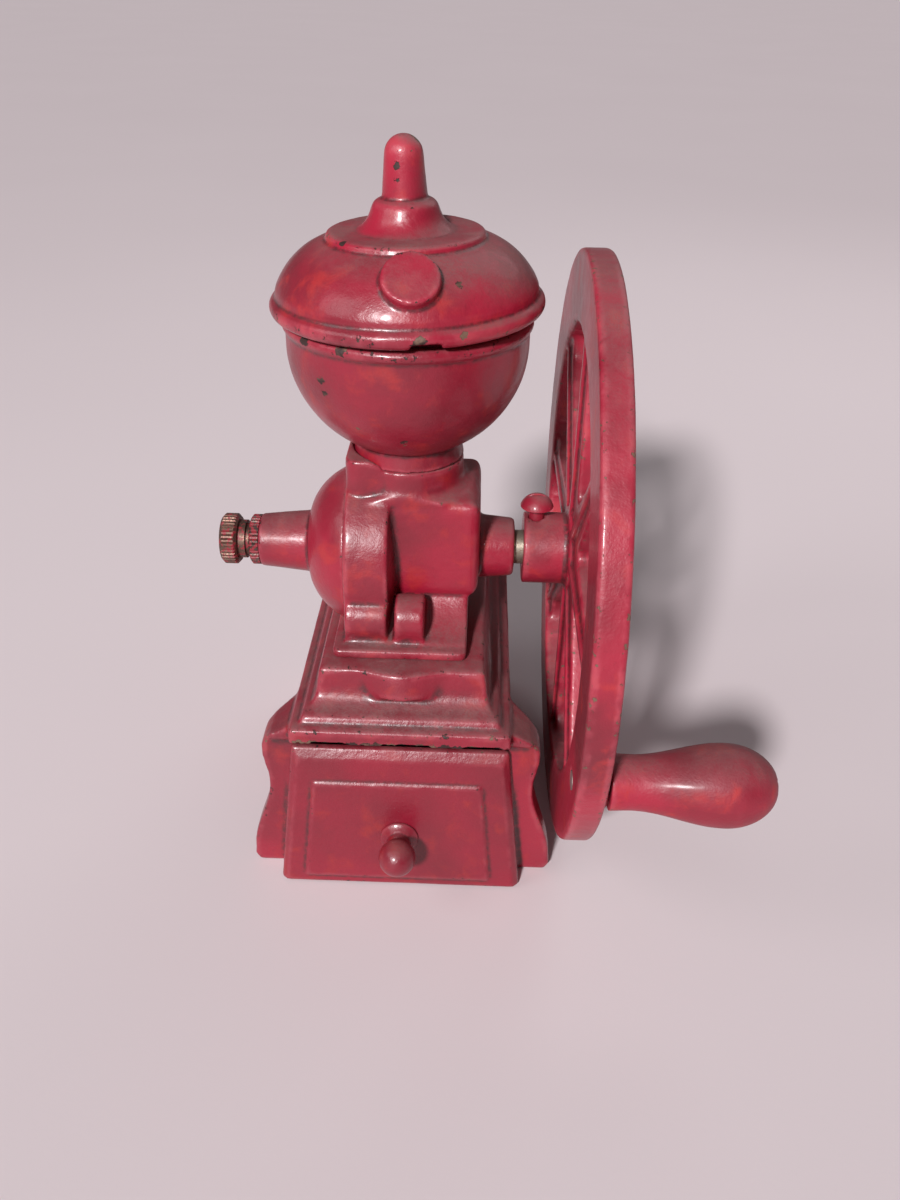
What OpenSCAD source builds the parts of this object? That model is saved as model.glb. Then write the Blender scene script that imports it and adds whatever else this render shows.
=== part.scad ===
// Cast-iron box mill for coffee, with a side flywheel, a domed hopper and a drawer.
// Units are millimetres. X runs along the shaft towards the flywheel, Y runs from
// the drawer front to the back, Z is up. The hopper axis is X = 0, Y = 0 and the
// mill stands on Z = 0.

/* [Overall] */
// Height of the shaft axis above the ground
shaft_z = 119; // [117.5:0.5:121]
// Height of the tip of the lid finial
total_h = 270; // [268:0.5:273]

/* [Base] */
// Half width of the base walls at the ground
base_half_w = 47.4; // [46:0.1:49]
// Half depth of the base walls at the ground
base_half_d = 66.9; // [65:0.1:68]
// Height of the deck that carries the mill
deck_z = 92; // [91:0.5:93]
// Half width of the deck
deck_half_w = 31.5; // [30:0.5:33]
// Half depth of the deck
deck_half_d = 50; // [48:0.5:52]
// Half width of the lip above the drawer
lip_half_w = 42.2; // [41:0.1:44]
// Half depth of the lip above the drawer
lip_half_d = 65.3; // [64:0.1:66]
// Wall thickness of the base casting
base_wall = 3.5; // [3:0.1:4.5]
// Inward lean of the base walls from the ground to the lip
wall_draft = 6.2; // [5.5:0.1:6.5]
// Half width across the flared feet
foot_half_w = 61; // [58:0.5:62]

/* [Drawer] */
// Width of the drawer front at its foot
front_w_low = 96.4; // [94:0.2:98]
// Width of the drawer front at its top
front_w_high = 83.4; // [81:0.2:85]
// Height of the drawer front
front_h = 64.2; // [62:0.1:65]
// Thickness of the drawer front
front_t = 5; // [4:0.1:6]
// Backward lean of the drawer front in degrees
front_lean = 6.6; // [6:0.1:7]
// Half width of the drawer tray
tray_half_w = 34; // [30:0.5:35]
// Height of the tray walls
tray_h = 43; // [38:0.5:45]
// Thickness of the tray sheet
tray_t = 1; // [0.8:0.1:1.4]

/* [Mill body] */
// Radius of the drum round the burrs
drum_r = 36; // [35:0.2:37]
// Radius of the neck below the hopper
neck_r = 21; // [20.5:0.1:22]
// Height of the joint between neck and hopper
neck_z = 160; // [159:0.2:161]
// Half depth of the front block
block_half_d = 22; // [21:0.2:24]
// Radius of the grinding chamber
chamber_r = 25; // [24.5:0.1:26]

/* [Shaft and wheel] */
// Radius of the shaft
shaft_r = 6.8; // [6.5:0.05:7]
// Radial running clearance in the bushes
run_gap = 0.05; // [0.02:0.01:0.08]
// Outer radius of the flywheel
wheel_r = 114.5; // [112:0.5:116]
// Inner radius of the flywheel rim
rim_in_r = 88; // [86:0.5:90]
// Position of the left face of the rim
rim_x = 61.8; // [61:0.1:63]
// Thickness of the rim
rim_t = 10.6; // [10:0.1:12]
// Distance of the crank pin from the shaft
crank_r = 101.5; // [99:0.5:103]
// Turn of the crank pin below the front of the wheel in degrees
crank_turn = 22.5; // [22.5:45:22.5]

/* [Hopper and lid] */
// Outer radius of the hopper bowl
bowl_r = 44.5; // [44:0.1:45]
// Depth of the bowl's curved part
bowl_drop = 41; // [39:0.2:42]
// Height of the bowl's rim
bowl_top = 213.3; // [212:0.1:214]
// Wall thickness of bowl and lid
shell_t = 3.5; // [3:0.1:4]
// Radius of the lid over its bead
lid_r = 48.4; // [47:0.1:49]

/* [Hidden] */

red = [0.62, 0.17, 0.2];
steel = [0.55, 0.53, 0.5];
iron = [0.3, 0.29, 0.28];
brass = [0.66, 0.52, 0.3];
tin = [0.62, 0.62, 0.6];

$fn = 96;

lip_z = 67;
lip_top = 74;
step_half_w = 38;
step_half_d = 61;
deck_t = 4;
foot_front = 61;
roll_r = 2.2;
roll_z = 77.4;
cove_top = 86;
drum_x0 = -23;
drum_x1 = -6;
spigot_x1 = -18.5;
spigot_r = 26.4;
dome_r = 32;
block_x0 = -6.5;
block_x1 = 28;
pad_x0 = -27.1;
pad_x1 = 24.3;
pad_half_d = 43.6;
pad_top = 96;
boss_x1 = 42;
bolt_y = 31;
bolt_xs = [-13, 2.75];
bush_r = 8.5;
feed_x = 5;
feed_r = 9.5;
auger_bore = 11.5;
burr_r = 21;
cone_x0 = -59.7;
cone_x1 = -39.2;
screw_r = 6.5;
journal_r = 6;
hub_x0 = 45.4;
hub_r = 14.3;
web_x0 = 64.6;
web_t = 5.6;
bowl_mid = 203;
lid_seat = bowl_top + 0.1;
plateau_z = 240.2;
shoulder_x = 21.1;
shoulder_z = 211.6;
shoulder_r = 26.8;
boss_turn = 6;

// Cylinder of radius r along X, from x0 to x1, on the shaft axis
module on_shaft(r, x0, x1, r2 = -1) {
    translate([x0, 0, shaft_z])
        rotate([0, 90, 0])
            cylinder(h = x1 - x0, r1 = r, r2 = r2 < 0 ? r : r2);
}

// Box given by its two corners
module block(a, b) {
    translate(a)
        cube(b - a);
}

// Rectangle with round corners, drawn flat
module soft_rect(x0, x1, y0, y1, r) {
    translate([x0 + r, y0])
        square([x1 - x0 - 2 * r, y1 - y0]);
    translate([x0, y0 + r])
        square([x1 - x0, y1 - y0 - 2 * r]);
    for (x = [x0 + r, x1 - r])
        for (y = [y0 + r, y1 - r])
            translate([x, y])
                circle(r, $fn = 32);
}

// Flat shape in Y and Z pushed along X from x0 to x1
module push_x(x0, x1) {
    translate([x0, 0, 0])
        rotate([90, 0, 90])
            linear_extrude(x1 - x0)
                children();
}

// Flat shape in X and Z pushed along Y from y0 to y1
module push_y(y0, y1) {
    translate([0, y1, 0])
        rotate([90, 0, 0])
            linear_extrude(y1 - y0)
                children();
}

// Smooth step from 0 to 1
function ease(t) = 0.5 - 0.5 * cos(180 * t);

// Round roll on the lip, then a hollow cove up to the deck's edge
function roll(w, n = 5) = [
    for (i = [0 : n])
        let (a = 90 * i / n)
        [w - roll_r + roll_r * cos(a), roll_z - roll_r + roll_r * sin(a)]
];
function cove(w0, w1, n = 10) = [
    for (i = [1 : n])
        let (a = 90 * i / n)
        [w0 + (w1 - w0) * sin(a), roll_z + (cove_top - roll_z) * (1 - cos(a))]
];
// Half outline of the base from the ground to the deck
function base_side(ground, lip, step, deck) = concat(
    [[ground, 0], [ground - wall_draft, lip_z]],
    [[lip, lip_z], [lip, lip_top - 0.9], [lip - 0.9, lip_top], [step, lip_top]],
    roll(step),
    cove(step - roll_r, deck + 0.9),
    [[deck, deck_z - 0.9], [deck - 0.9, deck_z]]
);
function mirrored(pts) = concat(
    pts,
    [for (i = [len(pts) - 1 : -1 : 0]) [-pts[i][0], pts[i][1]]]
);

module base_outline() {
    intersection() {
        push_y(-80, 80)
            polygon(mirrored(base_side(base_half_w, lip_half_w, step_half_w, deck_half_w)));
        push_x(-80, 80)
            polygon(mirrored(base_side(base_half_d, lip_half_d, step_half_d, deck_half_d)));
    }
}

// Half outline of the room below the deck, a wall thickness inside the base
function room_side(ground, deck) = [
    [ground - base_wall, -1], [ground - wall_draft - base_wall, lip_z - 2],
    [deck - base_wall, deck_z - deck_t]
];

// Front edge of the deck swells over the cove and hangs down in a shallow lobe
function swell(t) = abs(t) < 1 ? pow(cos(90 * t), 2) : 0;

module front_lobe() {
    n = 24;
    half_w = 21;
    back = -44;
    points = [
        for (i = [0 : n])
            let (x = half_w * (2 * i / n - 1))
            each [
                [x, back, deck_z], [x, -deck_half_d - 3.4 * swell(x / 20), deck_z],
                [x, -deck_half_d - 0.4 - 6 * swell(x / 19), 81.6], [x, back, 81.6]
            ]
    ];
    faces = concat(
        [[0, 1, 2, 3], [4 * n + 3, 4 * n + 2, 4 * n + 1, 4 * n]],
        [for (i = [0 : n - 1]) for (k = [0 : 3])
            let (a = 4 * i + k)
            let (b = 4 * i + (k + 1) % 4)
            each [[a, b + 4, b], [a, a + 4, b + 4]]]
    );
    polyhedron(points, faces, convexity = 4);
}

module foot(side) {
    z_top = 71;
    mirror([side > 0 ? 1 : 0, 0, 0])
        intersection() {
            push_y(-foot_front, -foot_front + 26)
                polygon(concat(
                    [[-38, 0], [-foot_half_w + 1.6, 0], [-foot_half_w, 3]],
                    [for (i = [0 : 8])
                        let (t = i / 8)
                        [-foot_half_w + 0.4 + (foot_half_w - 52.4) * ease(t), 7 + 37 * t]],
                    [[-52.4, 49], [-54, 56], [-54.2, 61], [-53, 64.5], [-50, 67.5], [-44, z_top], [-38, z_top]]
                ));
            linear_extrude(z_top)
                polygon([[-foot_half_w - 1, -foot_front], [-36, -foot_front],
                    [-36, -foot_front + 26], [-41, -foot_front + 24], [-foot_half_w - 1, -foot_front + 6]]);
        }
}

module base_housing() {
    color(red)
        difference() {
            union() {
                difference() {
                    union() {
                        base_outline();
                        front_lobe();
                        foot(-1);
                        foot(1);
                    }
                    // Room below the deck, with its mouth at the front
                    intersection() {
                        push_y(-90, 90)
                            polygon(mirrored(room_side(base_half_w, deck_half_w)));
                        push_x(-60, 60)
                            union() {
                                polygon(mirrored(room_side(base_half_d, deck_half_d)));
                                translate([-90, -1])
                                    square([60, lip_z - 1]);
                            }
                    }
                }
                // Tie across the foot of the side walls
                block([-45, -8, 0], [45, 8, 2.9]);
                // Ledges that carry the drawer
                for (s = [-1, 1])
                    block([s * 38.5 - 7.5, -58, 2.9], [s * 38.5 + 7.5, 56, 6.9]);
                // Guides beside the tray
                for (s = [-1, 1])
                    block([s * 38 - 3.5, -52, 6.9], [s * 38 + 3.5, 56, 14]);
            }
            // Front plane behind the leaning drawer front
            translate([0, -72.6, 1])
                rotate([-front_lean, 0, 0])
                    block([-60, -20, -10], [60, front_t + 0.7, lip_z - 1 - 0.6]);
            // Ground falls through the deck into the drawer
            block([-20, -11, 80], [-10, 11, deck_z + 1]);
            for (x = bolt_xs)
                for (y = [-bolt_y, bolt_y])
                    translate([x, y, 80])
                        cylinder(h = 20, r = 3.1);
        }
}

module lean() {
    translate([0, -72.6, 1])
        rotate([-front_lean, 0, 0])
            children();
}

module front_shape(w0, w1, z0, z1, y0, y1) {
    push_y(y0, y1)
        polygon([[-w0 / 2, z0], [w0 / 2, z0], [w1 / 2, z1], [-w1 / 2, z1]]);
}

module drawer_front() {
    knob_z = 24.6;
    color(red)
        lean()
            difference() {
                union() {
                    front_shape(front_w_low, front_w_high, 0, front_h, 2.2, front_t);
                    hull() {
                        front_shape(front_w_low, front_w_high, 0, front_h, 2.1, 2.2);
                        front_shape(front_w_low - 5, front_w_high - 5, 0, front_h - 4.6, 0, 0.1);
                    }
                    translate([-1, 0, 0])
                        front_shape(73.4, 65, 4, 49.2, -1, 0.1);
                }
                translate([0, -2, knob_z])
                    rotate([-90, 0, 0])
                        cylinder(h = 12, r = 2.6);
                for (x = [-26, 26])
                    for (z = [14, 40])
                        translate([x, front_t - 3, z])
                            rotate([-90, 0, 0])
                                cylinder(h = 4, r = 1.8, $fn = 32);
            }
}

// Side view of the tray: its front wall leans with the drawer front
module tray_side(t) {
    z0 = 7 + t;
    y_at_foot = -72.6 + front_t / cos(front_lean) + (z0 - 1) * tan(front_lean);
    y_at_top = -72.6 + front_t / cos(front_lean) + (6 + tray_h) * tan(front_lean);
    polygon([[y_at_foot + t, z0], [52 - t, z0], [52 - t, 7 + tray_h + (t > 0 ? 1 : 0)],
        [y_at_top + t, 7 + tray_h + (t > 0 ? 1 : 0)]]);
}

module drawer_tray() {
    color(tin)
        difference() {
            push_x(-tray_half_w, tray_half_w)
                tray_side(0);
            push_x(-tray_half_w + tray_t, tray_half_w - tray_t)
                tray_side(tray_t);
            lean()
                translate([0, -2, 24.6])
                    rotate([-90, 0, 0])
                        cylinder(h = 12, r = 2.6);
            lean()
                for (x = [-26, 26])
                    for (z = [14, 40])
                        translate([x, 0, z])
                            rotate([-90, 0, 0])
                                cylinder(h = 10, r = 1.8, $fn = 32);
        }
}

module drawer_rivets() {
    color(steel)
        lean()
            for (x = [-26, 26])
                for (z = [14, 40])
                    translate([x, 0, z])
                        rotate([-90, 0, 0]) {
                            translate([0, 0, front_t - 3])
                                cylinder(h = 4.2, r = 1.8, $fn = 32);
                            translate([0, 0, front_t + 1.15])
                                cylinder(h = 1.3, r1 = 3.2, r2 = 2.2, $fn = 32);
                        }
}

module drawer_knob() {
    color(red)
        lean()
            translate([0, -1, 24.6])
                rotate([90, 0, 0]) {
                    rotate_extrude()
                        difference() {
                            union() {
                                square([7.6, 3]);
                                square([4.6, 12]);
                                translate([0, 12])
                                    intersection() {
                                        circle(7.2, $fn = 64);
                                        translate([0, -8])
                                            square([8, 16]);
                                    }
                            }
                            translate([9.1, 5.3])
                                circle(4.5, $fn = 48);
                        }
                    translate([0, 0, -12.6])
                        cylinder(h = 13, r = 2.5);
                }
}

module knob_nut() {
    color(steel)
        lean()
            translate([0, front_t + 1.15, 24.6])
                rotate([-90, 0, 0])
                    difference() {
                        cylinder(h = 3.4, r = 4.8, $fn = 6);
                        translate([0, 0, -1])
                            cylinder(h = 6, r = 2.55);
                    }
}

// Round foot of the mill that takes one bolt from below, its front at reach
module lug(x0, x1, reach, z, r) {
    for (side = [-1, 1])
        push_x(x0, x1) {
            translate([side * (reach - r), z])
                circle(r);
            translate([side * (reach - r) - r + 1.5, pad_top - 1])
                square([2 * r - 3, z - pad_top]);
        }
}

// Side view of the stem: hollow curves from under the block out to the pad's edges
module stem_side() {
    difference() {
        translate([-39, pad_top - 1])
            square([78, 20]);
        for (side = [-1, 1])
            translate([side * 41, 120])
                scale(1.15)
                    circle(20);
    }
}

// Block of the right bearing with every long edge rounded
module round_block() {
    intersection() {
        push_x(block_x0, block_x1)
            soft_rect(-block_half_d, block_half_d, 107.4, 148.5, 4);
        translate([0, 0, 100])
            linear_extrude(60)
                soft_rect(-16, block_x1, -block_half_d, block_half_d, 4);
        push_y(-40, 40)
            soft_rect(-16, block_x1, 107.4, 148.5, 5);
    }
}

// Square shoulder that rises from the drum to the hopper and falls away to the right
module saddle() {
    intersection() {
        translate([0, 0, 138])
            linear_extrude(30)
                soft_rect(drum_x0 + 0.4, 4, -19.6, 19.6, 5);
        push_y(-30, 30)
            polygon([[drum_x0, 138], [drum_x0, 163.4], [-13, 163.4], [3, 158], [3, 138]]);
    }
}

module mill_housing() {
    color(red)
        difference() {
            union() {
                // Pad on the deck
                translate([0, 0, deck_z])
                    linear_extrude(pad_top - deck_z)
                        soft_rect(pad_x0, pad_x1, -pad_half_d, pad_half_d, 2.5);
                push_x(drum_x0 + 3, pad_x1)
                    stem_side();
                round_block();
                // Drum round the burrs, cut level with the deck, its right face drafted
                intersection() {
                    union() {
                        on_shaft(drum_r, drum_x0, drum_x1);
                        on_shaft(drum_r - 0.6, drum_x1 - 0.5, -4.2, 22.6);
                    }
                    block([-40, -60, deck_z], [20, 60, 170]);
                }
                lug(drum_x0 + 0.4, drum_x1 - 0.4, 39.6, 103.8, 9.4);
                lug(-3.6, 7.8, 40, 103.6, 9.2);
                // Neck with its flare onto block and drum
                translate([0, 0, 140])
                    cylinder(h = neck_z - 140, r = neck_r);
                intersection() {
                    translate([0, 0, 147])
                        rotate_extrude()
                            difference() {
                                square([neck_r + 5, 7]);
                                translate([neck_r + 5.5, 7.5])
                                    circle(5.8, $fn = 96);
                            }
                    block([drum_x0 + 0.3, -block_half_d, 140], [block_x1 - 1, block_half_d, 170]);
                }
                saddle();
                // Boss of the right bearing
                on_shaft(13, block_x1 - 2, boss_x1 - 1, 11.7);
                on_shaft(11.7, boss_x1 - 1, boss_x1, 10.9);
            }
            // Room for the foot of the hopper
            translate([0, 0, neck_z])
                cylinder(h = 10, r = neck_r + 0.05);
            // Seat of the cover's spigot, grinding chamber and seat of the fixed burr
            on_shaft(spigot_r + run_gap, pad_x0 - 1, spigot_x1);
            on_shaft(chamber_r, spigot_x1 - 1, -12);
            on_shaft(burr_r, -13, -6.4);
            // Feed screw bore and feed hole
            on_shaft(auger_bore, -7, 20);
            translate([feed_x, 0, shaft_z])
                cylinder(h = 50, r = feed_r);
            // Seat of the right bush
            on_shaft(bush_r, 19, boss_x1 + 1);
            // Chute for the ground coffee
            block([-18.3, -10, deck_z - 1], [-12.2, 10, 104]);
            for (x = bolt_xs)
                for (y = [-bolt_y, bolt_y])
                    translate([x, y, deck_z - 1])
                        cylinder(h = 15.5, r = 3.05);
            for (a = [60 : 120 : 300])
                rotate([0, 0, a])
                    translate([15, 0, neck_z - 9])
                        cylinder(h = 12, r = 2, $fn = 32);
        }
}

module body_bolts() {
    color(steel)
        for (x = bolt_xs)
            for (y = [-bolt_y, bolt_y])
                translate([x, y, 0]) {
                    translate([0, 0, deck_z - deck_t - 4])
                        cylinder(h = 4, r = 5, $fn = 6);
                    translate([0, 0, deck_z - deck_t - 0.1])
                        cylinder(h = 17.5, r = 3);
                }
}

// Full round profile of the cover, as radius at each place along the shaft
function dome_at(t) = let (a = 90 * t) [
    13.4 + (dome_r - 13.4) * pow(cos(a), 1.25),
    drum_x0 + 2.5 + (cone_x1 - drum_x0 - 2.5) * pow(sin(a), 1.25)
];

// Cover with a spigot in the drum and the long cone of the adjusting screw
module chamber_cover() {
    n = 24;
    color(red)
        difference() {
            union() {
                on_shaft(spigot_r, drum_x0 - 1, spigot_x1 - 0.05);
                intersection() {
                    translate([0, 0, shaft_z])
                        rotate([0, -90, 0])
                            rotate_extrude()
                                polygon(concat([[0, -drum_x0 - 2.5]],
                                    [for (i = [0 : n]) [dome_at(i / n)[0], -dome_at(i / n)[1]]],
                                    [[0, -cone_x1]]));
                    block([-60, -60, 60], [drum_x0, 60, 170]);
                }
                on_shaft(10.5, cone_x0, cone_x1 + 1, 12.6);
            }
            // Flats that stand just clear of the pad and the deck
            block([pad_x0 - 0.05, -60, 60], [drum_x0, 60, pad_top + 0.05]);
            block([-60, -60, 60], [pad_x0, 60, deck_z + 0.05]);
            // Room for the turning burr
            on_shaft(18, -34.5, -28, chamber_r);
            on_shaft(chamber_r, -28.1, spigot_x1 + 1);
            // Seat of the left bush and the screw thread
            on_shaft(8, -43, -30);
            on_shaft(screw_r + run_gap, cone_x0 - 1, -42);
        }
}

// Shallow radial teeth cut into a burr face
module burr_teeth(x, count, r0, r1) {
    for (a = [0 : 360 / count : 359])
        translate([x, 0, shaft_z])
            rotate([a, 0, 0])
                translate([0, r0, -0.8])
                    cube([1.2, r1 - r0, 1.6]);
}

module outer_burr() {
    color(iron)
        difference() {
            on_shaft(burr_r, -12.4, -6.4);
            on_shaft(11, -13, -6);
            burr_teeth(-12.7, 18, 10, 19.5);
        }
}

module inner_burr() {
    color(iron)
        difference() {
            union() {
                on_shaft(20, -19, -13);
                on_shaft(10.5, -25, -18);
            }
            on_shaft(shaft_r, -26, -12);
            burr_teeth(-13.8, 18, 11.5, 19);
        }
}

module feed_auger() {
    color(iron)
        difference() {
            union() {
                on_shaft(8, -11, 13.5);
                translate([-11, 0, shaft_z])
                    rotate([0, 90, 0])
                        linear_extrude(height = 24.5, twist = -540, slices = 54, convexity = 6, $fn = 12)
                            translate([7, -1.2])
                                square([3.4, 2.4]);
            }
            on_shaft(shaft_r, -12, 14);
        }
}

module shaft() {
    color(steel) {
        on_shaft(journal_r, -44, -28);
        on_shaft(shaft_r, -29, 72.4);
    }
}

module right_bush() {
    color(brass)
        difference() {
            on_shaft(bush_r, 21, boss_x1);
            on_shaft(shaft_r + run_gap, 20, boss_x1 + 1);
        }
}

module left_bush() {
    color(brass)
        difference() {
            on_shaft(8, -43, -31);
            on_shaft(journal_r + run_gap, -44, -30);
        }
}

// Flat-wound coil: each slice is an arc, so the wire has a real thickness
module burr_spring() {
    turns = 3;
    wire_arc = 200;
    step = 20;
    arc = [for (a = [0 : step : wire_arc]) [cos(a), sin(a)]];
    color(steel)
        translate([13.7, 0, shaft_z])
            rotate([0, 90, 0])
                linear_extrude(height = 6.1, twist = -360 * turns, slices = 18 * turns, convexity = 6, $fn = 12)
                    polygon(concat(9.6 * arc, [for (i = [len(arc) - 1 : -1 : 0]) 7.7 * arc[i]]));
}

module thrust_ball() {
    color(steel)
        translate([-47, 0, shaft_z])
            sphere(3);
}

// Disc on the shaft axis with a straight-knurled rim
module knurled(r, x0, x1, teeth) {
    translate([x0, 0, shaft_z])
        rotate([0, 90, 0])
            linear_extrude(x1 - x0)
                difference() {
                    circle(r);
                    for (a = [0 : 360 / teeth : 359])
                        rotate(a)
                            translate([r, 0])
                                circle(0.45, $fn = 4);
                }
}

module adjusting_screw() {
    color(brass) {
        difference() {
            intersection() {
                knurled(10.2, -75.4, -68.5, 40);
                union() {
                    on_shaft(8.9, -75.4, -74, 10.4);
                    on_shaft(10.4, -74, -69.8);
                    on_shaft(10.4, -69.8, -68.5, 9);
                }
            }
            on_shaft(4.5, -76, -74.6);
        }
        on_shaft(7.7, -68.6, -65.6);
        on_shaft(screw_r, -65.7, -50);
    }
}

module lock_nut() {
    color(steel)
        difference() {
            intersection() {
                knurled(10.1, -63.6, cone_x0 - 0.05, 40);
                union() {
                    on_shaft(9.2, -63.6, -62.8, 10.2);
                    on_shaft(10.2, -62.8, cone_x0);
                }
            }
            on_shaft(screw_r + run_gap, -64, cone_x0 + 1);
        }
}

// Curved side of the bowl as a list of radius and height
function bowl_curve(r, drop, z_low, n = 30) = [
    for (i = [0 : n])
        let (a0 = acos((bowl_mid - z_low) / drop))
        let (a = a0 + (90 - a0) * i / n)
        [r * sin(a), bowl_mid - drop * cos(a)]
];

module hopper_bowl() {
    floor_z = 167;
    color(red)
        difference() {
            union() {
                rotate_extrude()
                    polygon(concat([[0, neck_z], [neck_r, neck_z]],
                        bowl_curve(bowl_r - 1, bowl_drop, 166.5),
                        [[bowl_r - 1, bowl_top - 4], [0, bowl_top - 4]]));
                rotate_extrude() {
                    translate([0, bowl_top - 4])
                        square([bowl_r - 0.8, 4]);
                    translate([bowl_r - 1.6, bowl_top - 2.4])
                        circle(1.9, $fn = 48);
                }
            }
            rotate_extrude()
                polygon(concat([[0, floor_z]],
                    bowl_curve(bowl_r - 1 - shell_t, bowl_drop - shell_t, floor_z + 2),
                    [[bowl_r - 1 - shell_t, bowl_top + 1], [0, bowl_top + 1]]));
            translate([feed_x, 0, neck_z - 1])
                cylinder(h = 12, r = feed_r);
            for (a = [60 : 120 : 300])
                rotate([0, 0, a])
                    translate([15, 0, neck_z - 1]) {
                        cylinder(h = 12, r = 2.1, $fn = 32);
                        translate([0, 0, floor_z - neck_z + 1 - 1.9])
                            cylinder(h = 3, r1 = 2.1, r2 = 4.6, $fn = 32);
                    }
        }
}

module hopper_screws() {
    color(steel)
        for (a = [60 : 120 : 300])
            rotate([0, 0, a])
                translate([15, 0, 0])
                    difference() {
                        union() {
                            translate([0, 0, neck_z - 8.8])
                                cylinder(h = 15.5, r = 1.95, $fn = 32);
                            translate([0, 0, 165.3])
                                cylinder(h = 1.5, r1 = 1.95, r2 = 3.2, $fn = 32);
                        }
                        translate([-4, -0.4, 166])
                            cube([8, 0.8, 2]);
                    }
}

// Section of a dome whose shoulder is an arc, filled to the axis
module dome_section(r) {
    intersection() {
        union() {
            translate([shoulder_x, shoulder_z])
                circle(r, $fn = 180);
            translate([0, shoulder_z])
                square([shoulder_x, r]);
        }
        square([lid_r - 2.5, 300]);
    }
}

// Half section of the lid's outside, from the seat to the finial
module lid_outside() {
    intersection() {
        dome_section(shoulder_r);
        translate([0, lid_seat])
            square([60, 40]);
    }
    // Raised ring under the finial
    translate([0, 230])
        square([25.8, plateau_z - 230]);
    translate([25.8, plateau_z - 1.6])
        circle(1.6, $fn = 32);
    // Bell with a round shoulder above a hollow foot
    difference() {
        translate([0, plateau_z - 3])
            square([21.4, 9.6]);
        translate([21.4, plateau_z + 9.1])
            circle(10, $fn = 96);
    }
    difference() {
        translate([8, plateau_z + 6.5])
            circle(3.5, $fn = 64);
        square([8.1, 300]);
    }
    translate([0, plateau_z])
        square([8.1, 10]);
    // Finial
    polygon([[0, 250], [7.8, 250], [6.6, total_h - 6.5], [0, total_h - 6.5]]);
    intersection() {
        translate([0, total_h - 6.6])
            circle(6.6, $fn = 64);
        square([20, 300]);
    }
}

module lid_shell() {
    rotate_extrude()
        difference() {
            lid_outside();
            // Inside of the dome
            intersection() {
                dome_section(shoulder_r - shell_t);
                square([37, 300]);
            }
        }
    // Bead along the rim
    rotate_extrude()
        difference() {
            union() {
                translate([lid_r - 3, lid_seat + 3])
                    circle(3, $fn = 64);
                translate([38, lid_seat])
                    square([lid_r - 41, 5]);
            }
            translate([0, lid_seat - 5])
                square([60, 5]);
        }
    // Spigot inside the bowl
    rotate_extrude()
        translate([37, lid_seat - 4])
            square([2.6, 8]);
}

module lid() {
    color(red)
        rotate([0, 0, boss_turn])
            difference() {
                union() {
                    lid_shell();
                    // Round cast boss on the front of the dome
                    translate([0, 0, 189.4])
                        rotate([41, 0, 0])
                            cylinder(h = 60, r = 9.6);
                }
                rotate_extrude()
                    intersection() {
                        dome_section(shoulder_r - shell_t);
                        translate([0, 150])
                            square([37, 100]);
                    }
                translate([0, 0, 100])
                    cylinder(h = shoulder_z - 99, r = 37);
                translate([0, 0, 100])
                    cylinder(h = lid_seat - 104, r = 60);
                // Finger notch under the rim
                block([-1, -60, lid_seat - 1], [9, -42, lid_seat + 2.2]);
            }
}

// One window between two spokes, centred on the X axis
module window() {
    in_c = 32;
    in_r = 3.2;
    out_r = 9;
    // The corners and the outer edge run a little way into the rim
    out_c = rim_in_r - out_r + 0.3;
    edge_r = rim_in_r + 0.6;
    half_spoke = 4.6;
    half_angle = 22.5 - asin((half_spoke + out_r) / out_c);
    corner = out_c * [cos(half_angle), sin(half_angle)];
    far = (out_c + out_r) * [cos(half_angle), sin(half_angle)];
    run = corner - [in_c, 0];
    // Direction square to the line that touches both corner circles
    side = atan2(run[1], run[0]) + 90 + asin((out_r - in_r) / norm(run));
    out = [cos(side), sin(side)];
    translate([in_c, 0])
        circle(in_r, $fn = 32);
    for (s = [-1, 1])
        translate([corner[0], s * corner[1]])
            circle(out_r, $fn = 64);
    upper = [[in_c, 0] + in_r * out, corner + out_r * out, far];
    polygon(concat(upper, [for (i = [2 : -1 : 0]) [upper[i][0], -upper[i][1]]]));
    intersection() {
        circle(edge_r, $fn = 180);
        polygon([[60, 0], 1.3 * corner, [110, 0], [1.3 * corner[0], -1.3 * corner[1]]]);
    }
}

module flywheel() {
    color(red)
        difference() {
            union() {
                // Rim with eased edges
                translate([rim_x, 0, shaft_z])
                    rotate([0, 90, 0])
                        rotate_extrude($fn = 180)
                            translate([rim_in_r, 0])
                                soft_rect(0, wheel_r - rim_in_r, 0, rim_t, 1.3);
                // Web with eight windows, leaving eight spokes
                translate([web_x0, 0, shaft_z])
                    rotate([0, 90, 0])
                        linear_extrude(web_t)
                            difference() {
                                circle(rim_in_r + 2, $fn = 180);
                                for (a = [22.5 : 45 : 359])
                                    rotate(a)
                                        window();
                            }
                // Ribs along the spokes
                for (a = [0 : 45 : 359])
                    translate([0, 0, shaft_z])
                        rotate([a, 0, 0])
                            block([web_x0 - 1.6, 16, -1.7], [web_x0 + 1, rim_in_r + 0.5, 1.7]);
                on_shaft(hub_r, hub_x0, web_x0 + 1);
                on_shaft(17, 62.8, web_x0 + 1);
                on_shaft(hub_r, web_x0, 72.4);
                // Boss of the crank pin
                translate([0, -crank_r * cos(crank_turn), shaft_z - crank_r * sin(crank_turn)])
                    rotate([0, 90, 0])
                        translate([0, 0, rim_x + rim_t - 1])
                            cylinder(h = 2.6, r = 9);
            }
            on_shaft(shaft_r, hub_x0 - 1, 80);
            translate([50.2, 0, shaft_z])
                cylinder(h = 30, r = 3.1);
            translate([rim_x - 1, -crank_r * cos(crank_turn), shaft_z - crank_r * sin(crank_turn)])
                rotate([0, 90, 0])
                    cylinder(h = 20, r = 3.5);
        }
}

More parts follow.
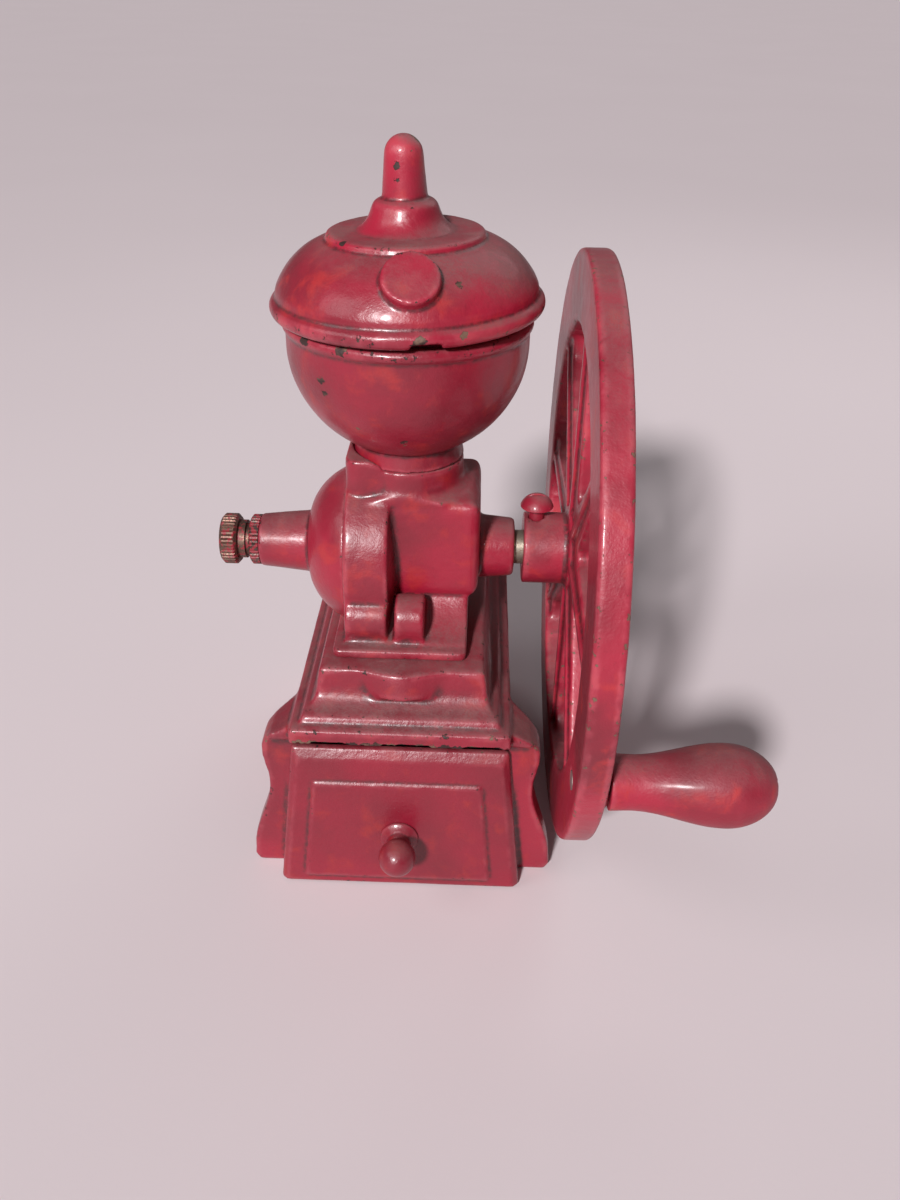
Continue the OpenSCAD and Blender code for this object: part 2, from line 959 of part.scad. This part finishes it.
module hub_screw() {
    color(red)
        translate([50.2, 0, shaft_z]) {
            translate([0, 0, shaft_r + 0.05])
                cylinder(h = 13, r = 3);
            difference() {
                translate([0, 0, hub_r + 4.2])
                    rotate_extrude()
                        intersection() {
                            translate([0, -1.6])
                                circle(6.8, $fn = 64);
                            square([6.6, 6]);
                        }
                translate([-8, -0.6, hub_r + 8])
                    cube([16, 1.2, 3]);
            }
        }
}

module crank_pin() {
    color(steel)
        translate([0, -crank_r * cos(crank_turn), shaft_z - crank_r * sin(crank_turn)])
            rotate([0, 90, 0]) {
                translate([0, 0, rim_x])
                    cylinder(h = 13, r = 3.5);
                translate([0, 0, rim_x + rim_t + 1.6])
                    cylinder(h = 53, r = 4);
                difference() {
                    translate([0, 0, 126.6])
                        cylinder(h = 2.8, r = 4.9);
                    translate([-7, -0.6, 128.4])
                        cube([14, 1.2, 2]);
                }
            }
}

// Radius of the pear-shaped grip at distance x from its inner end
function grip_r(x) = x < 40
    ? 10 - 0.4 * sin(min(90, x * 9)) + 5 * (0.5 - 0.5 * cos(180 * max(0, x - 7) / 33))
    : 14.6 * sqrt(max(0, 1 - pow((x - 40) / 18.3, 2)));

module handle_grip() {
    n = 46;
    grip_len = 58.3;
    x0 = 74.6;
    color(red)
        translate([0, -crank_r * cos(crank_turn), shaft_z - crank_r * sin(crank_turn)])
            rotate([0, 90, 0])
                translate([0, 0, x0])
                    rotate_extrude()
                        difference() {
                            polygon(concat([[0, 0]],
                                [for (i = [0 : n]) [grip_r(grip_len * i / n), grip_len * i / n]]));
                            translate([0, -1])
                                square([4 + run_gap, grip_len + 2]);
                            translate([0, 126.4 - x0])
                                square([5.2, 20]);
                        }
}

base_housing();
drawer_front();
drawer_tray();
drawer_rivets();
drawer_knob();
knob_nut();
mill_housing();
body_bolts();
chamber_cover();
outer_burr();
inner_burr();
feed_auger();
shaft();
right_bush();
left_bush();
burr_spring();
thrust_ball();
adjusting_screw();
lock_nut();
hopper_bowl();
hopper_screws();
lid();
flywheel();
hub_screw();
crank_pin();
handle_grip();
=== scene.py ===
"""Looks of the cast-iron coffee mill: sand-cast surfaces under old red paint, dust, chips and bare metal.

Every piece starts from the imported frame. Lengths are in metres unless a comment says millimetres.
"""

import math

import bpy
import numpy as np
from mathutils import Matrix, Vector


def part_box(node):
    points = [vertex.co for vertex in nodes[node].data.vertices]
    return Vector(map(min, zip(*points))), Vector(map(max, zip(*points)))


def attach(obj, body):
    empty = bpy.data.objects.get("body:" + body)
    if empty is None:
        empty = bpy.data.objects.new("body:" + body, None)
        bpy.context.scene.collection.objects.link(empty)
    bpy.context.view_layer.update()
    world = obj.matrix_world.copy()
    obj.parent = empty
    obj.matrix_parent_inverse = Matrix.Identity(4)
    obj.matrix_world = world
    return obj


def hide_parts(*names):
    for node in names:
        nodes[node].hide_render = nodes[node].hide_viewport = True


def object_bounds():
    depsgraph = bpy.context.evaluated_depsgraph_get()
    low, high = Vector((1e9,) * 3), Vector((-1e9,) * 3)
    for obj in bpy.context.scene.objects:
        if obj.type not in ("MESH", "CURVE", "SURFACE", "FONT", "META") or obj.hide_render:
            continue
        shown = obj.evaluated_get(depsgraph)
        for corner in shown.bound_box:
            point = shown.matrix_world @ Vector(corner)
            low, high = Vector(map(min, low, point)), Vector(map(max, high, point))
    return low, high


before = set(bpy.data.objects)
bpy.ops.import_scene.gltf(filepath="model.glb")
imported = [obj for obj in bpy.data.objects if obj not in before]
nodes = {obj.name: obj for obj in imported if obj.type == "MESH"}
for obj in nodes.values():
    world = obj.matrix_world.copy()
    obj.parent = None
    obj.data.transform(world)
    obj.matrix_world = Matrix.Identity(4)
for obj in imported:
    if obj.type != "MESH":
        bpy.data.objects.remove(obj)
cad_low, cad_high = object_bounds()

MM = 0.001

# Camera, as the picture has it
CAMERA_PLACE = Vector((0.0249, -0.3543, 0.3198))
CAMERA_DOWN = math.radians(32.69)
CAMERA_TURN = math.radians(1.33)
CAMERA_ROLL = math.radians(1.04)
CAMERA_LENS = 30.2

# Casting: size of the remeshing cells, then the smoothing and the height that the wear masks are read at
FINE = 0.55 * MM
MEDIUM = 0.7 * MM
WEAR_ROUNDS = 14
WEAR_HEIGHT = 0.16 * MM

# Lower front edge of the base's lip, how far up its breaks reach and how deep they are, in millimetres
LIP_EDGE_Z = 67.0
LIP_EDGE_Y = -60.0
LIP_BREAK_UP = 1.2
LIP_BREAK = 1.6

# Height of the lid's seat in millimetres, and its tilt
LID_SEAT_Z = 213.4
LID_TILT = math.radians(1.2)

# Width of the key light's disc in the sky
KEY_ANGLE = math.radians(7)

# Side of the floor, in metres
FLOOR_SIDE = 60.0


# ---------------------------------------------------------------- material graph


class Graph:
    """Short calls for building the nodes of one material."""

    def __init__(self, name):
        self.material = bpy.data.materials.new(name)
        self.material.use_nodes = True
        self.tree = self.material.node_tree
        self.tree.nodes.clear()
        self.shader = self.node("ShaderNodeBsdfPrincipled")
        output = self.node("ShaderNodeOutputMaterial")
        self.link(self.shader.outputs[0], output.inputs[0])
        self.place = self.node("ShaderNodeTexCoord")

    def node(self, kind, **settings):
        made = self.tree.nodes.new(kind)
        for key, value in settings.items():
            setattr(made, key, value)
        return made

    def link(self, source, target):
        self.tree.links.new(source, target)

    def put(self, socket, value):
        """Sets a socket to a value, or links it to another node's output."""
        if isinstance(value, bpy.types.NodeSocket):
            self.link(value, socket)
        elif isinstance(value, tuple) and socket.type == "RGBA":
            socket.default_value = (*value, 1.0)
        else:
            socket.default_value = value

    def noise(self, size, detail=3.0, rough=0.55, seed=0.0, warp=0.0):
        """Noise from 0 to 1 with features of about that size in metres."""
        made = self.node("ShaderNodeTexNoise", noise_dimensions="4D")
        self.link(self.place.outputs["Object"], made.inputs["Vector"])
        made.inputs["W"].default_value = seed
        made.inputs["Scale"].default_value = 1.0 / size
        made.inputs["Detail"].default_value = detail
        made.inputs["Roughness"].default_value = rough
        made.inputs["Distortion"].default_value = warp
        return made.outputs[0]

    def step(self, value, low, high, out_low=0.0, out_high=1.0):
        """Smooth step of a value from low to high."""
        made = self.node("ShaderNodeMapRange", interpolation_type="SMOOTHSTEP")
        self.put(made.inputs["Value"], value)
        made.inputs["From Min"].default_value = low
        made.inputs["From Max"].default_value = high
        made.inputs["To Min"].default_value = out_low
        made.inputs["To Max"].default_value = out_high
        return made.outputs[0]

    def maths(self, kind, a, b):
        """Two values joined by one sum, such as ADD or MAXIMUM."""
        made = self.node("ShaderNodeMath", operation=kind)
        self.put(made.inputs[0], a)
        self.put(made.inputs[1], b)
        return made.outputs[0]

    def times(self, a, b):
        return self.maths("MULTIPLY", a, b)

    def mix(self, share, a, b):
        """From colour a to colour b, by a share from 0 to 1."""
        made = self.node("ShaderNodeMix", data_type="RGBA", clamp_factor=True)
        self.put(made.inputs[0], share)
        self.put(made.inputs[6], a)
        self.put(made.inputs[7], b)
        return made.outputs[2]

    def blend(self, share, a, b):
        """From value a to value b, by a share from 0 to 1."""
        made = self.node("ShaderNodeMix", data_type="FLOAT", clamp_factor=True)
        self.put(made.inputs[0], share)
        self.put(made.inputs[2], a)
        self.put(made.inputs[3], b)
        return made.outputs[0]

    def mask(self, name):
        """A value kept on the mesh's points."""
        return self.node("ShaderNodeAttribute", attribute_name=name).outputs["Fac"]

    def facing(self, axis):
        """The part of the surface's own normal along an axis: 0, 1 or 2 for X, Y or Z."""
        split = self.node("ShaderNodeSeparateXYZ")
        self.link(self.place.outputs["Normal"], split.inputs[0])
        return split.outputs[axis]

    def bump(self, height, depth, onto=None):
        """Fine relief of a depth in metres, on top of another relief if one is given."""
        made = self.node("ShaderNodeBump")
        made.inputs["Strength"].default_value = 1.0
        made.inputs["Distance"].default_value = depth
        self.put(made.inputs["Height"], height)
        if onto is not None:
            self.link(onto, made.inputs["Normal"])
        return made.outputs[0]

    def finish(self, colour, rough, normal, metal=0.0, coat=0.0):
        """Links the surface up and gives its material."""
        self.put(self.shader.inputs["Base Color"], colour)
        self.put(self.shader.inputs["Roughness"], rough)
        self.put(self.shader.inputs["Metallic"], metal)
        self.put(self.shader.inputs["Coat Weight"], coat)
        self.shader.inputs["Coat Roughness"].default_value = COAT_ROUGHNESS
        self.link(normal, self.shader.inputs["Normal"])
        return self.material


# Paint, dust, dirt and painted shade for the hollows, and what shows under them, as linear colours
RED = (0.37, 0.011, 0.036)
DEEP_RED = (0.17, 0.008, 0.019)
WARM_RED = (0.46, 0.024, 0.022)
OLD_RED = (0.25, 0.018, 0.028)
PINK_RED = (0.48, 0.08, 0.11)
DUST = (0.20, 0.10, 0.10)
DIRT_AND_SHADE = (0.045, 0.012, 0.014)
BARE_IRON = (0.030, 0.012, 0.010)
UNDERCOAT = (0.16, 0.09, 0.06)

# Roughness of the clear gloss on the paint, and the level of wear at which the paint chips off
COAT_ROUGHNESS = 0.16
CHIP_STARTS = 0.80
CHIP_WHOLE = 0.83


def paint(name, seed, tone=1.0, dust=1.0, wear=1.0, deep=0.5, undercoat=0.1, rough=0.33,
          grain=1.0, coat=0.24):
    """Old brushed-on red enamel over a sand casting.

    tone scales the reds of a part as painted light and shade: raised on the lid and wheel, lowered most
    on the drawer;
    a smaller deep lets more of the dark red through, undercoat is how often a chip stops at the
    undercoat, grain is the height of the unevenness and coat the share of gloss.
    """
    g = Graph(name)
    # Painted light and shade: tone scales all the reds, brighter for parts the light falls on more
    red, warm_red, pink_red = (tuple(tone * c for c in shade) for shade in (RED, WARM_RED, PINK_RED))
    broad = g.noise(0.035, 3.0, 0.5, seed)
    patch = g.noise(0.011, 4.0, 0.6, seed + 3.1, 0.4)
    speck = g.noise(0.0022, 4.0, 0.65, seed + 7.7)
    fine = g.noise(0.0007, 2.0, 0.6, seed + 11.3)
    edge = g.mask("edge")
    hollow = g.mask("hollow")
    worn = g.mask("worn")

    colour = g.mix(g.step(broad, 0.5 - 0.3 * (1 - deep), 0.75), red, DEEP_RED)
    colour = g.mix(g.times(g.step(patch, 0.50, 0.72), 0.6), colour, warm_red)
    colour = g.mix(g.times(g.step(speck, 0.52, 0.78), 0.35), colour, DEEP_RED)

    rubbed = g.times(g.step(edge, 0.25, 1.0), g.step(patch, 0.35, 0.62))
    colour = g.mix(g.times(rubbed, 0.40 * wear), colour, pink_red)

    # Dirt and painted shade: hollows and creases turn near-black red, in blotches
    dirt_and_shade = g.times(g.step(hollow, 0.18, 1.0), g.step(speck, 0.25, 0.6))
    colour = g.mix(g.times(dirt_and_shade, 0.8), colour, DIRT_AND_SHADE)

    # Dust lies on what faces up, and hangs a little on what faces the wheel
    tops = g.maths("ADD", g.facing(2), g.times(g.facing(0), 0.32))
    lying = g.step(tops, 0.55, 1.04)
    settled = g.times(lying, g.step(patch, 0.22, 0.66, 0.25, 1.0))
    film = g.times(g.step(broad, 0.45, 0.75), g.step(speck, 0.35, 0.7, 0.4, 1.0))
    veil = g.maths("ADD", g.times(settled, 0.86 * dust), g.times(film, 0.04 * dust))
    grit = g.times(veil, g.step(fine, 0.30, 0.62, 0.6, 1.0))
    colour = g.mix(grit, colour, DUST)

    lost = g.maths("ADD", speck, g.times(edge, 0.20 * wear))
    lost = g.maths("ADD", lost, g.times(worn, 0.40))
    chips = g.step(lost, CHIP_STARTS, CHIP_WHOLE)
    ground = g.mix(g.step(patch, 0.50 - undercoat * 0.3, 0.62 - undercoat * 0.3), BARE_IRON, UNDERCOAT)
    colour = g.mix(chips, colour, ground)

    gloss = g.blend(g.step(patch, 0.3, 0.7), rough, rough + 0.12)
    gloss = g.blend(grit, gloss, 0.85)
    gloss = g.blend(chips, gloss, 0.62)

    sand = g.bump(fine, 0.08 * MM * grain)
    brush = g.bump(speck, 0.14 * MM * grain, sand)
    waves = g.bump(g.noise(0.0048, 2.0, 0.5, seed + 5.0), 0.22 * MM * grain, brush)
    pits = g.bump(g.maths("SUBTRACT", 1.0, chips), 0.22 * MM, waves)
    bare = g.maths("MAXIMUM", grit, chips)
    return g.finish(colour, gloss, pits, coat=g.blend(bare, coat, 0.0))


def bare_metal(name, seed, colour, dark, rough=0.42, tarnish=0.55, specks=None, cover=0.56):
    """Worn metal with tarnish, fine scratches and, if given, specks of paint: more as cover falls."""
    g = Graph(name)
    broad = g.noise(0.006, 4.0, 0.6, seed)
    fine = g.noise(0.0006, 3.0, 0.7, seed + 2.0)
    shade = g.mix(g.step(broad, 0.30, 0.70, 0.0, tarnish), colour, dark)
    shade = g.mix(g.times(g.step(fine, 0.5, 0.8), 0.6), shade, dark)
    metal = g.step(broad, 0.35, 0.85, 1.0, 0.55)
    if specks is not None:
        left = g.step(g.noise(0.0016, 3.0, 0.6, seed + 4.0), cover, cover + 0.06)
        shade = g.mix(left, shade, specks)
        metal = g.blend(left, metal, 0.0)
    gloss = g.blend(g.step(fine, 0.3, 0.7), rough, rough + 0.22)
    return g.finish(shade, gloss, g.bump(fine, 0.05 * MM), metal=metal)


# ---------------------------------------------------------------- cast surfaces


def neighbour_mean(points, edges, degree):
    """The mean place of each point's neighbours."""
    total = np.zeros_like(points)
    for a, b in ((0, 1), (1, 0)):
        for axis in range(3):
            total[:, axis] += np.bincount(edges[:, a], points[edges[:, b], axis], len(points))
    return total / degree[:, None]


def worn_at(points, places):
    """How near each point is to a place that has lost paint; a place is X, Y, Z and a reach."""
    value = np.zeros(len(points))
    for *place, reach in places:
        away = np.linalg.norm(points - np.array(place) * MM, axis=1)
        value = np.maximum(value, 1.0 - away / (reach * MM))
    return value


def keep_masks(mesh, worn):
    """Keeps on each point how far it stands out (edge), lies in (hollow) or is worn, from 0 to 1."""
    count = len(mesh.vertices)
    points = np.empty(count * 3)
    normals = np.empty(count * 3)
    mesh.vertices.foreach_get("co", points)
    mesh.vertices.foreach_get("normal", normals)
    points = points.reshape(-1, 3)
    normals = normals.reshape(-1, 3)
    edges = np.empty(len(mesh.edges) * 2, np.int64)
    mesh.edges.foreach_get("vertices", edges)
    edges = edges.reshape(-1, 2)
    degree = np.maximum(1, np.bincount(edges.ravel(), minlength=count))
    smooth = points.copy()
    for _ in range(WEAR_ROUNDS):
        smooth = 0.35 * smooth + 0.65 * neighbour_mean(smooth, edges, degree)
    lift = ((points - smooth) * normals).sum(axis=1) / WEAR_HEIGHT
    for name, value in (("edge", lift), ("hollow", -lift), ("worn", worn_at(points, worn))):
        mask = mesh.attributes.new(name, "FLOAT", "POINT")
        mask.data.foreach_set("value", np.clip(value, 0.0, 1.0).astype(np.float32))


def baked(obj):
    """Applies an object's modifiers."""
    ready = obj.evaluated_get(bpy.context.evaluated_depsgraph_get())
    mesh = bpy.data.meshes.new_from_object(ready)
    obj.modifiers.clear()
    old = obj.data
    obj.data = mesh
    bpy.data.meshes.remove(old)


def chipped_lip(points):
    """Breaks the lower front edge of the base's lip, where the drawer has knocked against it."""
    x, y, z = points.T / MM
    bite = 0.5 + np.sin(0.21 * x + 1.0) + 0.5 * np.sin(0.77 * x) + 0.25 * np.sin(2.3 * x + 2.0)
    near = np.exp(-(((z - LIP_EDGE_Z) / LIP_BREAK_UP) ** 2)) * (y < LIP_EDGE_Y)
    points[:, 2] += near * np.clip(bite, 0.0, 1.0) * LIP_BREAK * MM


def lid_askew(points):
    """Leaves the lid a little proud on the wheel's side, turned about the far edge of its seat."""
    low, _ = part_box("lid")
    across = points[:, 0] - low[0]
    above = points[:, 2] - LID_SEAT_Z * MM
    points[:, 0] += across * (math.cos(LID_TILT) - 1) - above * math.sin(LID_TILT)
    points[:, 2] += across * math.sin(LID_TILT) + above * (math.cos(LID_TILT) - 1)


def cast(node, name, body, material, cell=FINE, rounds=10, uneven=0.18, lump=0.012, worn=(),
         reshape=None):
    """A sand-cast copy of a CAD node: softened edges, filled corners and an uneven skin.

    cell is the remeshing cell and lump the size of the waves, in metres; uneven is their height in
    millimetres; rounds is how often the mesh is smoothed; reshape moves its points at the end.
    """
    obj = bpy.data.objects.new(name, nodes[node].data.copy())
    bpy.context.scene.collection.objects.link(obj)
    remesh = obj.modifiers.new("cells", "REMESH")
    remesh.mode = "VOXEL"
    remesh.voxel_size = cell
    remesh.use_smooth_shade = True
    soften = obj.modifiers.new("soften", "SMOOTH")
    soften.factor = 0.5
    soften.iterations = rounds
    for kind, size, height in (("long", lump, uneven), ("short", lump / 4, uneven * 0.3)):
        cloud = bpy.data.textures.new(f"{name}_{kind}", "CLOUDS")
        cloud.noise_scale = size
        cloud.noise_depth = 1
        wave = obj.modifiers.new(kind, "DISPLACE")
        wave.texture = cloud
        wave.texture_coords = "LOCAL"
        wave.strength = height * MM
        wave.mid_level = 0.5
    baked(obj)
    obj.data.polygons.foreach_set("use_smooth", [True] * len(obj.data.polygons))
    obj.data.materials.clear()
    obj.data.materials.append(material)
    keep_masks(obj.data, worn)
    if reshape:
        points = np.empty(len(obj.data.vertices) * 3)
        obj.data.vertices.foreach_get("co", points)
        reshape(points.reshape(-1, 3))
        obj.data.vertices.foreach_set("co", points)
        obj.data.update()
    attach(obj, body)
    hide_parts(node)


def dress(node, material):
    """Gives a CAD node its material."""
    obj = nodes[node]
    obj.data.materials.clear()
    obj.data.materials.append(material)


# ---------------------------------------------------------------- materials

# tone here is painted light and shade: the lid and wheel brighter, the drawer darkest, for how the light
# falls on them
base_paint = paint("base_paint", 1.0, tone=0.80, dust=0.95)
body_paint = paint("body_paint", 21.0, tone=0.86, dust=0.9, deep=0.45)
hopper_paint = paint("hopper_paint", 41.0, tone=0.87, dust=0.65, deep=0.30)
lid_paint = paint("lid_paint", 61.0, tone=1.02, dust=0.95)
wheel_paint = paint("wheel_paint", 81.0, tone=1.05, dust=0.8, deep=0.3, undercoat=0.7, rough=0.42)
drawer_paint = paint("drawer_paint", 101.0, tone=0.68, dust=0.5, deep=0.35)
grip_paint = paint("grip_paint", 121.0, dust=0.75, deep=0.3, wear=0.8, rough=0.48, grain=1.2, coat=0.12)

steel = bare_metal("steel", 3.0, (0.42, 0.40, 0.37), (0.10, 0.075, 0.06))
shaft_steel = bare_metal("shaft_steel", 5.0, (0.46, 0.42, 0.34), (0.12, 0.08, 0.05), specks=UNDERCOAT)
knob_brass = bare_metal("knob_brass", 7.0, (0.21, 0.13, 0.10), (0.05, 0.025, 0.02),
                        specks=OLD_RED, cover=0.52)
nut_steel = bare_metal("nut_steel", 9.0, (0.12, 0.085, 0.075), (0.04, 0.02, 0.02),
                       specks=OLD_RED, cover=0.46)
bush_brass = bare_metal("bush_brass", 11.0, (0.52, 0.36, 0.15), (0.16, 0.09, 0.04))
burr_iron = bare_metal("burr_iron", 13.0, (0.16, 0.15, 0.14), (0.05, 0.045, 0.04))
tin = bare_metal("tin", 15.0, (0.50, 0.49, 0.46), (0.16, 0.11, 0.08), rough=0.38)

# ---------------------------------------------------------------- pieces

# Places that have lost paint, in millimetres, each with its reach
BOWL_WORN = ((-27, -34, 199.5, 3.6), (-25.5, -34, 195, 2.8), (0.5, -34, 178, 4.2), (-15, -35, 183, 1.8),
             (-19, -41, 212.5, 3.6), (-33, -31, 212, 3.2))
LID_WORN = ((-2, -40, 230, 2.5), (19, -35, 231, 2.8), (-2, -6.5, 261, 2.5), (-2, -7, 257, 2.4),
            (4, 0, 269, 2.6), (7, -47.5, 217, 2.8), (21, -43, 218, 2.0), (-20, -18.5, 239.5, 2.0))
LIP_WORN = tuple((x, -65, 67.4, 3.2) for x in range(-38, 39, 5))

cast("base_housing", "cast_base", "mill", base_paint, MEDIUM, rounds=24, worn=LIP_WORN,
     reshape=chipped_lip)
cast("mill_housing", "cast_housing", "mill", body_paint, FINE, rounds=36)
cast("chamber_cover", "cast_cover", "mill", body_paint, FINE, rounds=16)
cast("hopper_bowl", "cast_bowl", "mill", hopper_paint, FINE, rounds=12, worn=BOWL_WORN)
cast("lid", "cast_lid", "lid", lid_paint, FINE, rounds=18, worn=LID_WORN, reshape=lid_askew)
cast("flywheel", "cast_wheel", "rotor", wheel_paint, MEDIUM, rounds=8)
cast("drawer_front", "cast_drawer", "drawer", drawer_paint, FINE, rounds=12)
cast("drawer_knob", "cast_knob", "drawer", drawer_paint, 0.4 * MM, rounds=8, uneven=0.1)
cast("hub_screw", "painted_screw", "rotor", wheel_paint, 0.3 * MM, rounds=5, uneven=0.08)
cast("handle_grip", "turned_grip", "handle", grip_paint, FINE, rounds=4, uneven=0.1)

for node in ("drawer_rivets", "knob_nut", "body_bolts", "burr_spring", "thrust_ball",
             "hopper_screws", "crank_pin"):
    dress(node, steel)
for node in ("left_bush", "right_bush"):
    dress(node, bush_brass)
for node in ("outer_burr", "inner_burr", "feed_auger"):
    dress(node, burr_iron)
dress("shaft", shaft_steel)
dress("adjusting_screw", knob_brass)
dress("lock_nut", nut_steel)
dress("drawer_tray", tin)

# ---------------------------------------------------------------- floor, light and camera


def floor():
    """A plain light floor that fills the picture."""
    bpy.ops.mesh.primitive_plane_add(size=FLOOR_SIDE)
    made = bpy.context.object
    made.name = "floor"
    g = Graph("floor_plain")
    tone = g.mix(g.noise(0.4, 2.0), (0.70, 0.62, 0.64), (0.73, 0.65, 0.67))
    made.data.materials.append(g.finish(tone, 0.7, g.bump(g.noise(0.002), 0.02 * MM)))


def lamp(kind, name, place, aim, size, power, colour=(1.0, 1.0, 1.0)):
    """A soft light at a place, turned to its aim."""
    light = bpy.data.lights.new(name, kind)
    light.energy = power
    light.color = colour
    if kind == "SUN":
        light.angle = size
    else:
        light.shape = "DISK"
        light.size = size
    made = bpy.data.objects.new(name, light)
    made.location = place
    made.rotation_euler = (Vector(aim) - Vector(place)).to_track_quat("-Z", "Y").to_euler()
    bpy.context.scene.collection.objects.link(made)


def surround(colour, strength):
    """Even light from all around."""
    world = bpy.data.worlds.new("surround")
    bpy.context.scene.world = world
    world.use_nodes = True
    back = world.node_tree.nodes["Background"]
    back.inputs[0].default_value = (*colour, 1.0)
    back.inputs[1].default_value = strength


def camera():
    """The camera of the picture."""
    data = bpy.data.cameras.new("camera")
    data.lens = CAMERA_LENS
    data.clip_start = 0.01
    made = bpy.data.objects.new("camera", data)
    ahead = Vector((-math.sin(CAMERA_TURN) * math.cos(CAMERA_DOWN),
                    math.cos(CAMERA_TURN) * math.cos(CAMERA_DOWN), -math.sin(CAMERA_DOWN)))
    level = Vector((math.cos(CAMERA_TURN), math.sin(CAMERA_TURN), 0.0))
    above = level.cross(ahead)
    right = level * math.cos(CAMERA_ROLL) + above * math.sin(CAMERA_ROLL)
    up = above * math.cos(CAMERA_ROLL) - level * math.sin(CAMERA_ROLL)
    turn = Matrix((right, up, -ahead)).transposed()
    made.matrix_world = Matrix.Translation(CAMERA_PLACE) @ turn.to_4x4()
    bpy.context.scene.collection.objects.link(made)
    bpy.context.scene.camera = made


middle = (cad_low + cad_high) / 2
floor()
surround((0.95, 0.88, 0.91), 0.13)
lamp("SUN", "key", (-0.11, -0.40, 0.40), middle, KEY_ANGLE, 3.9, (1.0, 0.97, 0.98))
lamp("AREA", "fill", (-0.75, -0.35, 0.75), middle, 0.5, 1.6)
lamp("AREA", "back", (0.5, 0.7, 0.8), middle, 0.6, 1.2)
camera()
bpy.context.scene.view_settings.view_transform = "Standard"
